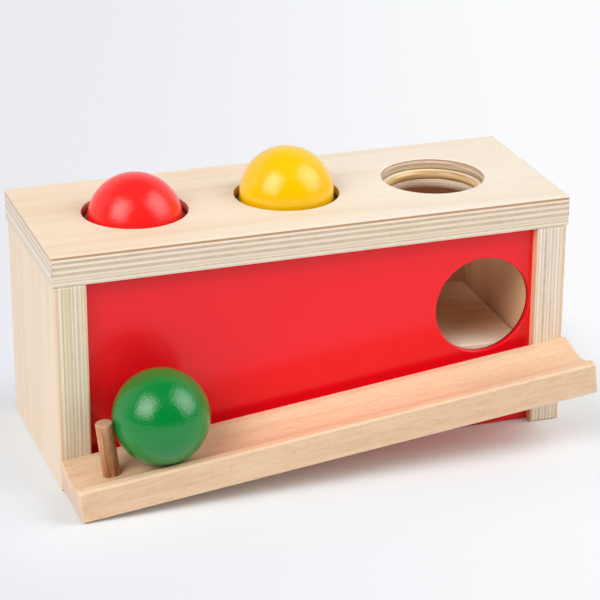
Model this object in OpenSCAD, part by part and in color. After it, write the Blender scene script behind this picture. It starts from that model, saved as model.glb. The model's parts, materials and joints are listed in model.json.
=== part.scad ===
// Ball pounding box: a plywood box with three ball holes in its lid, a floor
// inside that slopes to an exit hole, and a grooved beech track along the front
// that rolls each ball down to a peg.
// Millimetres. X runs along the box, Y to the back, Z up. The origin is on the
// ground, under the middle of the whole toy.

/* [Box] */
// Length of the lid
lid_length = 252; // [244:1:270]
// Depth of the box from front to back
box_depth = 94; // [88:1:110]
// Height of the lid's top face above the ground
box_height = 116; // [112:1:130]
// Thickness of the lid's upper board
lid_board = 10; // [9:0.5:14]
// Thickness of the board under it, which traps the rings
clamp_board = 5; // [4:0.5:7]
// How far the lid stands out past each side panel
lid_overhang = 1; // [0.5:0.5:3]
// Thickness of the two side panels
side_thickness = 15; // [14:0.5:18]
// Radius of the sanded edges of the boards
edge_round = 1; // [0.6:0.1:1.5]
// Radius along the bottom of the feet
foot_round = 1.2; // [0.8:0.1:4]

/* [Front and back panels] */
// Thickness of the front and back panels
panel_thickness = 4; // [3:0.5:5]
// How far the front panel lies behind the side panels' front edges
front_recess = 5; // [4.8:0.1:8]
// How far the back panel lies inside the side panels' back edges
back_recess = 4; // [2:0.5:8]
// Gap between the ground and the panels' lower edges
panel_lift = 0.2; // [0.1:0.1:6]
// Depth of the grooves in the side panels that hold both panels
housing_depth = 3; // [2:0.5:3]

/* [Lid holes and rings] */
// Diameter of the three ball holes
hole_diameter = 50; // [48:0.5:52]
// Distance from one hole to the next
hole_pitch = 74.5; // [62:0.5:78]
// Width of the broken edge round every hole
rim_break = 0.6; // [0.3:0.1:1]
// Thickness of the elastic rings, which are round in section
ring_cord = 5; // [4:0.25:5.5]

/* [Balls] */
// Diameter of the balls
ball_diameter = 45; // [44:0.5:46]
// How far the left ball is pushed down below the middle ball
push_depth = 4.9; // [4:0.1:7]

/* [Exit hole and inner floor] */
// Diameter of the exit hole in the front panel
exit_diameter = 48; // [46:0.5:50]
// Distance from the exit hole's edge to the right side panel
exit_wall_gap = 1; // [1:0.1:6]
// How far the exit hole's lowest point lies under the inner floor's lowest corner
exit_sink = 0.8; // [0:0.1:1]
// Height of the inner floor at its lowest corner, beside the exit hole
floor_level = 40.1; // [38:0.1:42]
// Slope of the inner floor along the box, in degrees
floor_fall = 3; // [2:0.25:3.5]
// Slope of the inner floor towards the front, in degrees
floor_tip = 1.25; // [0.5:0.25:2.5]
// Thickness of the inner floor
floor_thickness = 5; // [4:0.5:8]
// Gap between the inner floor and each side panel
floor_gap = 0.7; // [0.3:0.1:2]
// Width and height of the two rails under the inner floor
rail_size = 8; // [6:0.5:12]

/* [Track] */
// Length of the track
track_length = 254; // [250:1:280]
// Width of the track
track_width = 35.5; // [35.5:0.5:44]
// Thickness of the track
track_thickness = 15.4; // [14:0.2:18]
// Slope of the track, in degrees
track_slope = 6.35; // [4:0.05:8]
// Height of the track's lower corner above the ground
track_lift = 0.5; // [0.1:0.1:2]
// How far the track's lower corner lies inside the left side panel's face
track_inset = 1; // [0:0.5:3]
// Radius of the groove that the balls roll in
groove_radius = 24; // [23.5:0.5:30]
// Depth of that groove
groove_depth = 3.75; // [3:0.25:5]
// Radius that the groove's two lips are rounded to
groove_lip = 3; // [1:0.25:4]
// Radius of the track's sanded edges
track_round = 1.2; // [0.6:0.1:2]

/* [Peg and dowels] */
// Diameter of the stop peg
peg_diameter = 8; // [6:0.5:10]
// Height of the peg above the groove
peg_height = 26.5; // [24:0.5:40]
// Depth of the peg's hole
peg_seat = 7.5; // [5:0.5:8]
// Distance from the track's lower end to the peg
peg_place = 19.8; // [18:0.2:30]
// Diameter of the hidden dowels
dowel_diameter = 8; // [6:0.5:8]
// Length of the dowels that hold the lid
lid_dowel_length = 30; // [24:1:40]
// Distance from the front and back edges of the lid to its dowels
lid_dowel_margin = 22.5; // [18:0.5:30]
// Length of the dowels that hold the track
track_dowel_length = 30; // [24:1:30]
// Room round pegs and dowels for glue
glue_gap = 0.1; // [0.05:0.05:0.2]

/* [Hidden] */
$fn = 96;

// Heights and faces of the box, measured from its middle, its front and the ground
lid_total = lid_board + clamp_board;
side_top = box_height - lid_total;
clamp_top = side_top + clamp_board;
side_out = lid_length / 2 - lid_overhang;
side_in = side_out - side_thickness;
side_middle = (side_out + side_in) / 2;
front_in = front_recess + panel_thickness;
back_in = box_depth - back_recess - panel_thickness;
panel_half = side_in + housing_depth - glue_gap;
housing_width = panel_thickness + glue_gap;
hole_y = box_depth / 2;
hole_left = -hole_pitch;
hole_right = hole_pitch;

// Balls and the rings that hold them
contact_gap = 0.15;
ball_r = ball_diameter / 2;
cord_r = ring_cord / 2;
ring_level = clamp_top + cord_r;
ball_rise = box_height - ring_level;
ring_radius = sqrt(pow(ball_r + cord_r + contact_gap, 2) - pow(ball_rise, 2));
seat_radius = ring_radius + cord_r + glue_gap;
pressed_inner = ball_r + contact_gap;
pressed_width = ring_radius + cord_r - pressed_inner;
pressed_flat = 0.4;
pressed_round = (pressed_width - pressed_flat) / 2;

// Exit hole
exit_r = exit_diameter / 2;
exit_x = side_in - exit_wall_gap - exit_r;
exit_z = floor_level + exit_r - exit_sink;

// Track
track_left = -side_out + track_inset;
track_right = track_left + (track_length - track_round) * cos(track_slope)
    + track_round * (1 - sin(track_slope));
groove_bottom = track_thickness - groove_depth;
groove_y = track_width / 2;
groove_top = groove_bottom + groove_radius;
lip_level = track_thickness - groove_lip;
lip_reach = sqrt(pow(groove_radius + groove_lip, 2) - pow(groove_top - lip_level, 2));
green_place = peg_place + peg_diameter / 2 + ball_r + contact_gap;

// Dowels, each with some room for glue past its far end
dowel_r = dowel_diameter / 2;
dowel_chamfer = dowel_diameter / 8;
glue_room = 1;
lid_dowel_bottom = clamp_top + lid_board / 2 - glue_room - lid_dowel_length;
lid_dowel_places = [lid_dowel_margin, box_depth - lid_dowel_margin];
track_dowel_height = groove_bottom / 2;

// The origin lies under the middle of the outline, whose front is the green ball
outline_front = max(track_width, groove_y + ball_r);
middle_x = (track_right - lid_length / 2) / 2;
middle_y = (box_depth - outline_front) / 2;

veneer = "#EAD7BA";
ply = "#DCC6A2";
beech = "#E5BD92";
peg_wood = "#B9835C";
paint_red = "#E3232B";
amber = "#D7AF6E";
ball_red = "#F03A38";
ball_yellow = "#F7C416";
ball_green = "#0E9448";

// Moves from the box's own corner frame to the toy's origin
module placed() {
    translate([-middle_x, -middle_y, 0]) children();
}

// Rectangle from the origin with its lower and upper corners rounded
module soft_rect(w, h, low, high) {
    translate([0, low]) square([w, h - low - high]);
    translate([low, 0]) square([w - 2 * low, low]);
    translate([high, h - high]) square([w - 2 * high, high]);
    for (x = [low, w - low]) translate([x, low]) circle(low);
    for (x = [high, w - high]) translate([x, h - high]) circle(high);
}

// Board from the origin with every edge rounded, and its own radius at the bottom
module soft_board(size, r, bottom_r) {
    intersection() {
        linear_extrude(size.z) soft_rect(size.x, size.y, r, r);
        translate([0, size.y, 0]) rotate([90, 0, 0])
            linear_extrude(size.y) soft_rect(size.x, size.z, bottom_r, r);
        rotate([90, 0, 90]) linear_extrude(size.x) soft_rect(size.y, size.z, bottom_r, r);
    }
}

// Round hole along Z, from z = low to z = high, with its upper edge broken
module eased_hole(r, low, high) {
    translate([0, 0, low]) cylinder(r = r, h = high - low + 1);
    translate([0, 0, high - rim_break]) cylinder(r1 = r, r2 = r + rim_break * 2, h = rim_break * 2);
}

module at_each_hole() {
    for (x = [hole_left, 0, hole_right]) translate([x, hole_y, 0]) children();
}

// Both lid boards in one piece, before they are parted and drilled
module lid_blank() {
    translate([-lid_length / 2, 0, side_top])
        soft_board([lid_length, box_depth, lid_total], edge_round, edge_round);
}

// Upper or lower slice of the lid
module lid_slice(low, high) {
    intersection() {
        lid_blank();
        translate([-lid_length, -box_depth, low]) cube([2 * lid_length, 3 * box_depth, high - low]);
    }
}

// Wooden dowel along Z with chamfered ends
module dowel(length) {
    straight = length - 2 * dowel_chamfer;
    cylinder(r1 = dowel_r - dowel_chamfer, r2 = dowel_r, h = dowel_chamfer);
    translate([0, 0, dowel_chamfer]) cylinder(r = dowel_r, h = straight);
    translate([0, 0, dowel_chamfer + straight])
        cylinder(r1 = dowel_r, r2 = dowel_r - dowel_chamfer, h = dowel_chamfer);
}

// Blind hole that a dowel of this length is glued into
module dowel_hole(length) {
    cylinder(r = dowel_r + glue_gap, h = length + glue_room);
}

// Puts its children where the two lid dowels of one side panel stand
module at_lid_dowels(x) {
    for (y = lid_dowel_places) translate([x, y, lid_dowel_bottom]) children();
}

// Puts its child where a dowel joins the track to one side panel, half in each
module at_track_dowel(x) {
    z = track_lift + (x - track_left) * tan(track_slope) + track_dowel_height / cos(track_slope);
    translate([x, track_dowel_length / 2, z]) rotate([90, 0, 0]) children();
}

module top_board() {
    color(veneer) placed() difference() {
        lid_slice(clamp_top, box_height + 1);
        at_each_hole() eased_hole(hole_diameter / 2, clamp_top - 1, box_height);
        at_each_hole() translate([0, 0, clamp_top - 1]) cylinder(r = seat_radius, h = ring_cord + 1);
        for (x = [-side_middle, side_middle]) at_lid_dowels(x) dowel_hole(lid_dowel_length);
    }
}

module ring_clamp_board() {
    color(ply) placed() difference() {
        lid_slice(side_top - 1, clamp_top);
        at_each_hole() translate([0, 0, side_top - 1])
            cylinder(r = hole_diameter / 2, h = clamp_board + 2);
        for (x = [-side_middle, side_middle]) at_lid_dowels(x) dowel_hole(lid_dowel_length);
    }
}

// Elastic ring in its seat round one hole, turned from the section given as its child
module seated_ring(x) {
    placed() translate([x, hole_y, ring_level]) rotate_extrude() children();
}

module relaxed_ring(x) {
    seated_ring(x) translate([ring_radius, 0]) circle(cord_r);
}

// The left ring is squeezed into its seat by the ball pushed into it
module grip_ring_left() {
    color(amber) seated_ring(hole_left) translate([pressed_inner, -cord_r])
        soft_rect(pressed_width, ring_cord, pressed_round, pressed_round);
}

module grip_ring_middle() {
    color(amber) relaxed_ring(0);
}

module grip_ring_right() {
    color(amber) relaxed_ring(hole_right);
}

// Side panel seen as the right one: grooves on its inner face, dowel holes in its edges
module side_panel_shape() {
    difference() {
        translate([side_in, 0, 0])
            soft_board([side_thickness, box_depth, side_top], edge_round, foot_round);
        for (y = [front_recess, back_in]) translate([side_in - 1, y - glue_gap / 2, -1])
            cube([housing_depth + 1, housing_width, side_top + 2]);
        at_lid_dowels(side_middle) dowel_hole(lid_dowel_length);
    }
}

module left_side_panel() {
    color(veneer) placed() difference() {
        mirror([1, 0, 0]) side_panel_shape();
        at_track_dowel(-side_middle) dowel_hole(track_dowel_length);
    }
}

module right_side_panel() {
    color(veneer) placed() difference() {
        side_panel_shape();
        at_track_dowel(side_middle) dowel_hole(track_dowel_length);
    }
}

// Thin panel that stands in the side panels' grooves
module thin_panel(y) {
    translate([-panel_half, y, panel_lift])
        cube([2 * panel_half, panel_thickness, side_top - panel_lift]);
}

module front_panel() {
    color(paint_red) placed() difference() {
        thin_panel(front_recess);
        translate([exit_x, front_recess, exit_z]) rotate([90, 0, 0])
            eased_hole(exit_r, -panel_thickness - 1, 0);
    }
}

module back_panel() {
    color(paint_red) placed() thin_panel(back_in);
}

// Layer of the tilted floor, from depth down to depth + thick below its top, kept
// between two Y faces of the chamber
module floor_layer(depth, thick, y_low, y_high) {
    intersection() {
        translate([side_in, front_in, floor_level]) rotate([floor_tip, floor_fall, 0])
            translate([-3 * side_in, -box_depth, -depth - thick])
                cube([4 * side_in, 3 * box_depth, thick]);
        translate([-side_in + floor_gap, y_low, 0])
            cube([2 * (side_in - floor_gap), y_high - y_low, side_top]);
    }
}

module inner_floor() {
    color(veneer) placed() floor_layer(0, floor_thickness, front_in, back_in);
}

module floor_rail_front() {
    color(beech) placed()
        floor_layer(floor_thickness, rail_size, front_in, front_in + rail_size);
}

module floor_rail_back() {
    color(beech) placed()
        floor_layer(floor_thickness, rail_size, back_in - rail_size, back_in);
}

// Moves from the track's own frame, at its lower end and front, to its slope
module on_track() {
    placed() translate([track_left, -track_width, track_lift]) rotate([0, -track_slope, 0]) children();
}

// Peg with a lightly broken top; grow makes the hole that it is glued into
module peg_shape(grow) {
    translate([peg_place, groove_y, groove_bottom - peg_seat]) {
        cylinder(d = peg_diameter + 2 * grow, h = peg_seat + peg_height - rim_break);
        translate([0, 0, peg_seat + peg_height - rim_break])
            cylinder(r1 = peg_diameter / 2 + grow, r2 = peg_diameter / 2 - rim_break, h = rim_break);
    }
}

// What is cut away beside one lip of the groove, so that an arc joins groove and flat
module lip_cut(side) {
    lip = [groove_y + side * lip_reach, lip_level];
    difference() {
        polygon([lip, [lip.x, track_thickness + 1], [groove_y, groove_top]]);
        translate(lip) circle(groove_lip);
    }
}

// Section of the groove with both of its rounded lips
module groove_section() {
    translate([groove_y, groove_top]) circle(groove_radius);
    for (side = [-1, 1]) lip_cut(side);
}

module ball_track() {
    color(beech) difference() {
        on_track() difference() {
            soft_board([track_length, track_width, track_thickness], track_round, track_round);
            translate([-1, 0, 0]) rotate([90, 0, 90]) linear_extrude(track_length + 2) groove_section();
            peg_shape(glue_gap);
        }
        placed() for (x = [-side_middle, side_middle])
            at_track_dowel(x) dowel_hole(track_dowel_length);
    }
}

module stop_peg() {
    color(peg_wood) on_track() peg_shape(0);
}

module track_dowel_left() {
    color(beech) placed() at_track_dowel(-side_middle) dowel(track_dowel_length);
}

module track_dowel_right() {
    color(beech) placed() at_track_dowel(side_middle) dowel(track_dowel_length);
}

module lid_dowels_left() {
    color(beech) placed() at_lid_dowels(-side_middle) dowel(lid_dowel_length);
}

module lid_dowels_right() {
    color(beech) placed() at_lid_dowels(side_middle) dowel(lid_dowel_length);
}

module red_ball() {
    color(ball_red) placed() translate([hole_left, hole_y, box_height - push_depth]) sphere(ball_r);
}

module yellow_ball() {
    color(ball_yellow) placed() translate([0, hole_y, box_height]) sphere(ball_r);
}

module green_ball() {
    color(ball_green) on_track()
        translate([green_place, groove_y, groove_bottom + ball_r + contact_gap]) sphere(ball_r);
}

top_board();
ring_clamp_board();
grip_ring_left();
grip_ring_middle();
grip_ring_right();
left_side_panel();
right_side_panel();
front_panel();
back_panel();
inner_floor();
floor_rail_front();
floor_rail_back();
ball_track();
stop_peg();
track_dowel_left();
track_dowel_right();
lid_dowels_left();
lid_dowels_right();
red_ball();
yellow_ball();
green_ball();
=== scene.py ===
# %% [markdown]
# # A ball pounding box
# The toy is a plywood box. Wooden balls are pushed through three elastic rings in its lid. Each ball rolls
# over a sloping floor inside, leaves by a round hole in the red panel and follows a beech track to a peg.
# The CAD model already fixes every size and place, so it is loaded first and never moved. This lesson
# gives each surface its finish, and models again, with rounder edges, the pieces whose edges catch the
# light.

# %% Load the frame
import json
import math

import bmesh
import bpy
from mathutils import Matrix, Vector

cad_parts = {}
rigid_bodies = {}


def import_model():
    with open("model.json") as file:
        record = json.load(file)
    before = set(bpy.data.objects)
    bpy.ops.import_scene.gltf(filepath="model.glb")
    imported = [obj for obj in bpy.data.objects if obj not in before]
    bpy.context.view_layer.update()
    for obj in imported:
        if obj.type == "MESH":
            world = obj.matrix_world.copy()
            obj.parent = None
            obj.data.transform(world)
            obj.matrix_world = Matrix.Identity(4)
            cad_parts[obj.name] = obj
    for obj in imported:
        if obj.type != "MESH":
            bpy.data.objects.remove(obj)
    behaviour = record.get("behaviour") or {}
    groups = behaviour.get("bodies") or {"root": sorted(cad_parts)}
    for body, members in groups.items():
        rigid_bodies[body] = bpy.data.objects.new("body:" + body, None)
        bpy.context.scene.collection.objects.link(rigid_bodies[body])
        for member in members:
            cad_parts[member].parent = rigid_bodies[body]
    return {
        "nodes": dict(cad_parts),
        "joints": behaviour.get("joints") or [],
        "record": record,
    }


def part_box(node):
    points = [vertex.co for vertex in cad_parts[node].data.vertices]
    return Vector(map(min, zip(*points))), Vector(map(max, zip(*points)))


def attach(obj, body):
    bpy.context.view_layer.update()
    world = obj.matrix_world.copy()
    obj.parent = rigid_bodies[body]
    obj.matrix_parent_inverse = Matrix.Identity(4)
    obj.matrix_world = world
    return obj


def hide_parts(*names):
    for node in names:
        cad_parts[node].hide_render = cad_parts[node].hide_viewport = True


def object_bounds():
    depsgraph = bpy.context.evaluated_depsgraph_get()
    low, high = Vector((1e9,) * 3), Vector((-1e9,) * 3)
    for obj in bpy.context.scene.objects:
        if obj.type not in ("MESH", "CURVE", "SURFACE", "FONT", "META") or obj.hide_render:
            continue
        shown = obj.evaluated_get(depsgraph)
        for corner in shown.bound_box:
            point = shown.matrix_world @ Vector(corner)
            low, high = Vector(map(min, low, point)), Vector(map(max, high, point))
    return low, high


for leftover in list(bpy.data.objects):
    bpy.data.objects.remove(leftover)
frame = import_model()
cad_low, cad_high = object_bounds()
nodes = frame["nodes"]
scene = bpy.context.scene
MM = 0.001
print("CAD box in mm:", [round(side / MM, 1) for side in cad_high - cad_low])

# %% [markdown]
# ## The camera
# The picture was taken from the left and from above, with a long lens, so the box's far edges hardly
# shrink. Place and angles come from fitting the box's corners, so they are written as they were found. A
# camera looks along its own -Z axis, which is why the view direction is turned into a rotation with
# `to_track_quat`.

# %% Camera
camera_place = Vector((-350.3, -1016.5, 513.3)) * MM
camera_yaw = 0.3309
camera_pitch = 0.3923
camera_roll = -0.0028
look = Vector((
    math.sin(camera_yaw) * math.cos(camera_pitch),
    math.cos(camera_yaw) * math.cos(camera_pitch),
    -math.sin(camera_pitch),
))
camera_data = bpy.data.cameras.new("photo_camera")
camera_data.sensor_width = 36.0
camera_data.lens = 146.95
camera_data.clip_start = 0.05
camera_data.clip_end = 50.0
camera = bpy.data.objects.new("photo_camera", camera_data)
scene.collection.objects.link(camera)
camera.location = camera_place
camera.rotation_mode = "QUATERNION"
roll_turn = Matrix.Rotation(camera_roll, 4, look).to_quaternion()
camera.rotation_quaternion = roll_turn @ look.to_track_quat("-Z", "Y")
scene.camera = camera
scene.view_settings.view_transform = "Standard"
print("camera stands", round(camera_place.length, 3), "m away")

# %% [markdown]
# ## Node helpers
# A procedural material is a small network of nodes. Every link could be written out, but a few helpers
# keep the networks readable: one adds a node and fills its inputs, two write sums, one makes a soft step
# and one mixes two colours. Colours are written as on a screen and turned into the linear values that the
# renderer adds up.


# %% Nodes and sums
def add(tree, kind, inputs=None, **settings):
    """One new node with its settings, and a value or a link for each input that is named."""
    node = tree.nodes.new(kind)
    for name, value in settings.items():
        setattr(node, name, value)
    for name, value in (inputs or {}).items():
        if isinstance(value, bpy.types.NodeSocket):
            tree.links.new(value, node.inputs[name])
        else:
            node.inputs[name].default_value = value
    return node


def sum_of(tree, operation, *values):
    """The result of a Math node."""
    return add(tree, "ShaderNodeMath", dict(enumerate(values)), operation=operation).outputs[0]


def vector_sum(tree, operation, *values):
    """The result of a Vector Math node: one number for DOT_PRODUCT and LENGTH, or else a vector."""
    node = add(tree, "ShaderNodeVectorMath", dict(enumerate(values)), operation=operation)
    return node.outputs["Value" if operation in ("DOT_PRODUCT", "LENGTH") else "Vector"]


def parts_of(tree, vector):
    """The X, Y and Z of a vector."""
    return add(tree, "ShaderNodeSeparateXYZ", {0: vector}).outputs


def turned(tree, vector, turn):
    """A vector after a turn by three angles, round X, Y and Z."""
    inputs = {"Vector": vector, "Rotation": turn}
    return add(tree, "ShaderNodeMapping", inputs, vector_type="POINT").outputs[0]


print("number helpers ready")


# %% Steps and colours
def linear(screen_colour):
    """A colour written as 0 to 255 on a screen, as the linear RGBA that shaders want."""
    shares = [part / 255 for part in screen_colour]
    return (*[s / 12.92 if s <= 0.04045 else ((s + 0.055) / 1.055) ** 2.4 for s in shares], 1.0)


def ease(tree, value, start, end):
    """0 before start, 1 after end, and a smooth step between them."""
    inputs = {"Value": value, "From Min": start, "From Max": end}
    return add(tree, "ShaderNodeMapRange", inputs, interpolation_type="SMOOTHSTEP").outputs[0]


def tint(tree, share, first, second):
    """Goes from the first colour to the second as share rises to 1; each is a socket or a screen colour."""
    given_colours = [
        colour if isinstance(colour, bpy.types.NodeSocket) else linear(colour) for colour in (first, second)
    ]
    inputs = {0: share, 6: given_colours[0], 7: given_colours[1]}
    return add(tree, "ShaderNodeMix", inputs, data_type="RGBA").outputs[2]


print("colour helpers ready")

# %% [markdown]
# ## Grain, a group for every wood
# Sawn wood shows long soft streaks where spring and summer growth alternate, and much finer fibres. Both
# are noise that is stretched along one axis. As a group, the same grain serves the veneer, the plies, the
# beech and the peg, each with its own width and length. The group expects the grain to run along X.


# %% Group helpers
def new_group(name, inputs, outputs, made_kind="NodeSocketFloat"):
    """An empty shader group with named sockets, and the sockets for what it is given and what it makes."""
    group = bpy.data.node_groups.new(name, "ShaderNodeTree")
    for label, value in inputs.items():
        kind = "NodeSocketFloat"
        if isinstance(value, tuple):
            kind = "NodeSocketVector" if len(value) == 3 else "NodeSocketColor"
        group.interface.new_socket(label, in_out="INPUT", socket_type=kind).default_value = value
    for label in outputs:
        group.interface.new_socket(label, in_out="OUTPUT", socket_type=made_kind)
    return group, group.nodes.new("NodeGroupInput").outputs, group.nodes.new("NodeGroupOutput").inputs


def put_out(group, made, **results):
    """Links a group's results to the sockets that it puts out."""
    for label, source in results.items():
        group.links.new(source, made[label])
    print("group", group.name, "puts out", list(results))


def use_group(tree, group, inputs):
    """A placed copy of a group, with its own values."""
    return add(tree, "ShaderNodeGroup", inputs, node_tree=group).outputs


print("group helpers ready")


# %% Grain group
def noise(tree, place, scale, detail, **more):
    """Soft noise round 0.5, with about scale spots per metre and finer detail in them."""
    inputs = {"Vector": place, "Scale": scale, "Detail": detail, **more}
    return add(tree, "ShaderNodeTexNoise", inputs).outputs[0]


def drawn_out(tree, place, stretch):
    """Coordinates squeezed along X, so that a pattern on them is drawn out that way."""
    factors = add(tree, "ShaderNodeCombineXYZ", {0: stretch, 1: 1.0, 2: 1.0}).outputs[0]
    return vector_sum(tree, "MULTIPLY", place, factors)


clouds_per_metre = 22.0
grain, given, made = new_group(
    "grain",
    {"Vector": (0.0, 0.0, 0.0), "Streaks per metre": 90.0, "Streak stretch": 0.06,
     "Fibres per metre": 1400.0, "Fibre stretch": 0.035},
    ["Streaks", "Fibres", "Clouds"],
)
long_way = drawn_out(grain, given["Vector"], given["Streak stretch"])
fibre_way = drawn_out(grain, given["Vector"], given["Fibre stretch"])
put_out(
    grain, made,
    Streaks=noise(grain, long_way, given["Streaks per metre"], 5.0, Roughness=0.62, Distortion=0.35),
    Fibres=noise(grain, fibre_way, given["Fibres per metre"], 3.0, Roughness=0.6),
    Clouds=noise(grain, long_way, clouds_per_metre, 2.0, Roughness=0.5),
)

# %% [markdown]
# ## Plies, a group for every plywood edge
# Plywood is glued from thin sheets with the grain turned by a quarter each time. On a cut edge every
# second ply shows its end grain and looks darker, with a thin glue line on either side. Depth below the
# board's face, in millimetres, is all the group needs: it counts plies, and a little noise keeps the lines
# from being ruled. Round the corner the plies change places: those that were dark on one edge are pale on
# the next.

# %% Ply group, uneven depth
sways_per_metre = 38.0
swells_per_mm = 0.75
plies, given, made = new_group(
    "plies",
    {"Vector": (0.0, 0.0, 0.0), "Depth": 0.0, "Pair": 2.7, "First dark": 1.0, "Dark share": 0.4,
     "Waviness": 0.25, "Unevenness": 0.5, "Softness": 0.04, "Seed": 0.0},
    ["Dark", "Glue", "Shade", "Tone"],
)
sway = noise(plies, given["Vector"], sways_per_metre, 2.0, Roughness=0.5)
sway = sum_of(plies, "MULTIPLY", sum_of(plies, "SUBTRACT", sway, 0.5), given["Waviness"])
swell = add(
    plies, "ShaderNodeTexNoise", {"W": given["Depth"], "Scale": swells_per_mm, "Detail": 1.0},
    noise_dimensions="1D",
).outputs[0]
swell = sum_of(plies, "MULTIPLY", sum_of(plies, "SUBTRACT", swell, 0.5), given["Unevenness"])
uneven_depth = sum_of(plies, "ADD", given["Depth"], sum_of(plies, "ADD", sway, swell))
uneven_depth = sum_of(plies, "SUBTRACT", uneven_depth, given["First dark"])
print("plies sway", sways_per_metre, "times per metre")

# %% Ply group, plies and glue
glue_width = 0.045
tone_seed = 40.3


def lot_of(tree, number):
    """A chance value from 0 to 1, always the same for the same number."""
    return add(tree, "ShaderNodeTexWhiteNoise", {"W": number}, noise_dimensions="1D").outputs["Value"]


pairs = sum_of(plies, "ADD", sum_of(plies, "DIVIDE", uneven_depth, given["Pair"]), 0.5)
from_middle = sum_of(plies, "ABSOLUTE", sum_of(plies, "SUBTRACT", sum_of(plies, "FRACT", pairs), 0.5))
inside_dark = sum_of(plies, "SUBTRACT", sum_of(plies, "MULTIPLY", given["Dark share"], 0.5), from_middle)
soft_start = sum_of(plies, "MULTIPLY", given["Softness"], -1.0)
off_glue = ease(plies, sum_of(plies, "ABSOLUTE", inside_dark), 0.0, glue_width)
dark_ply = sum_of(plies, "ADD", sum_of(plies, "FLOOR", pairs), given["Seed"])
pale_ply = sum_of(plies, "FLOOR", sum_of(plies, "ADD", pairs, 0.5))
pale_ply = sum_of(plies, "ADD", pale_ply, given["Seed"])
put_out(
    plies, made,
    Dark=ease(plies, inside_dark, soft_start, given["Softness"]),
    Glue=sum_of(plies, "SUBTRACT", 1.0, off_glue),
    Shade=lot_of(plies, dark_ply),
    Tone=lot_of(plies, sum_of(plies, "ADD", pale_ply, tone_seed)),
)

# %% [markdown]
# ## End grain and paler eased edges
# Two more effects are shared by the woods. A face that is cut across the grain looks different from the
# sides, so one group turns the surface's normal into the wood's own direction and asks how far it points
# along the grain. An edge that sandpaper has rounded is paler from wear. On the lid the same paler colour
# is also a painted highlight on the rounded hole rims and painted light on the hole walls. The modelling
# marks such faces with an attribute called eased, and the other group mixes a paler colour in there, so
# each wood only has to say which colour and how much.

# %% End grain group
end_grain, given, made = new_group(
    "end_grain", {"Normal": (0.0, 0.0, 1.0), "Turn": (0.0, 0.0, 0.0)}, ["Ends"]
)
along_grain = parts_of(end_grain, turned(end_grain, given["Normal"], given["Turn"]))[0]
put_out(end_grain, made, Ends=ease(end_grain, sum_of(end_grain, "ABSOLUTE", along_grain), 0.55, 0.9))


def ends_of(tree, turn):
    """1 on faces that look along the grain, where its ends show, and 0 along its sides."""
    facing = add(tree, "ShaderNodeTexCoord").outputs["Normal"]
    return use_group(tree, end_grain, {"Normal": facing, "Turn": turn})["Ends"]


# %% Wear and highlight edges group
wear_and_highlight_edges, given, made = new_group(
    "wear_and_highlight_edges",
    {"Colour": (0.8, 0.8, 0.8, 1.0), "Wear and highlight colour": (1.0, 1.0, 1.0, 1.0), "Mark": 0.0, "Strength": 0.5},
    ["Colour"], "NodeSocketColor",
)
wear_and_highlight_share = sum_of(wear_and_highlight_edges, "MULTIPLY", given["Mark"], given["Strength"])
put_out(
    wear_and_highlight_edges, made, Colour=tint(wear_and_highlight_edges, wear_and_highlight_share, given["Colour"], given["Wear and highlight colour"])
)


def mark_of(tree, name):
    """How strongly a face is marked with the attribute of this name."""
    return add(tree, "ShaderNodeAttribute", attribute_name=name).outputs["Fac"]


def paler_for_wear_and_highlight(tree, colour, paler, strength):
    """A colour that goes over to a paler one on the faces that are marked as eased."""
    inputs = {
        "Colour": colour, "Wear and highlight colour": linear(paler),
        "Mark": mark_of(tree, "eased"), "Strength": strength,
    }
    return use_group(tree, wear_and_highlight_edges, inputs)["Colour"]


# %% [markdown]
# ## Plywood
# The lid and the sides look like pale birch plywood under a thin matt lacquer. A face shows the outer
# veneer, with faint streaks; a cut edge shows the plies. Two materials could share the board, but here one
# material tells face and edge apart by depth below the face, in millimetres, so it goes round a sanded
# corner without a seam. To match the picture, the walls of bored holes count as a little deeper, so that
# the tan first ply starts right under the rim, the ends of the boards are a little greyer, and the lid
# turns warmer towards its left end.


# %% Finish helpers
def new_finish(name):
    """A new material, its node tree and its Principled shader."""
    finish = bpy.data.materials.new(name)
    finish.use_nodes = True
    return finish, finish.node_tree, finish.node_tree.nodes["Principled BSDF"]


def connect(tree, shader, **links):
    """Links outputs to the shader's sockets; underscores in the names stand for spaces."""
    for name, source in links.items():
        tree.links.new(source, shader.inputs[name.replace("_", " ")])


def place_in(tree, turn=(0, 0, 0)):
    """Object coordinates in metres, turned so that a pattern runs the way it should."""
    return turned(tree, add(tree, "ShaderNodeTexCoord").outputs["Object"], turn)


def bump(tree, height, depth, strength):
    """A normal from a height that runs from 0 to 1, where 1 stands depth metres proud."""
    inputs = {"Strength": strength, "Distance": depth, "Height": height}
    return add(tree, "ShaderNodeBump", inputs).outputs[0]


print("finish helpers ready")

# %% Depth and veneer
front_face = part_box("front_panel")[0].y
bored_shift = 0.8


def depth_in_board(tree, stack):
    """Depth in millimetres below the face from which a board's plies are counted."""
    inward, face = stack[:2]
    along = vector_sum(tree, "DOT_PRODUCT", place_in(tree), inward)
    depth = sum_of(tree, "MULTIPLY", sum_of(tree, "SUBTRACT", along, face), 1 / MM)
    return sum_of(tree, "MULTIPLY_ADD", mark_of(tree, "bored"), bored_shift, depth)


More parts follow.
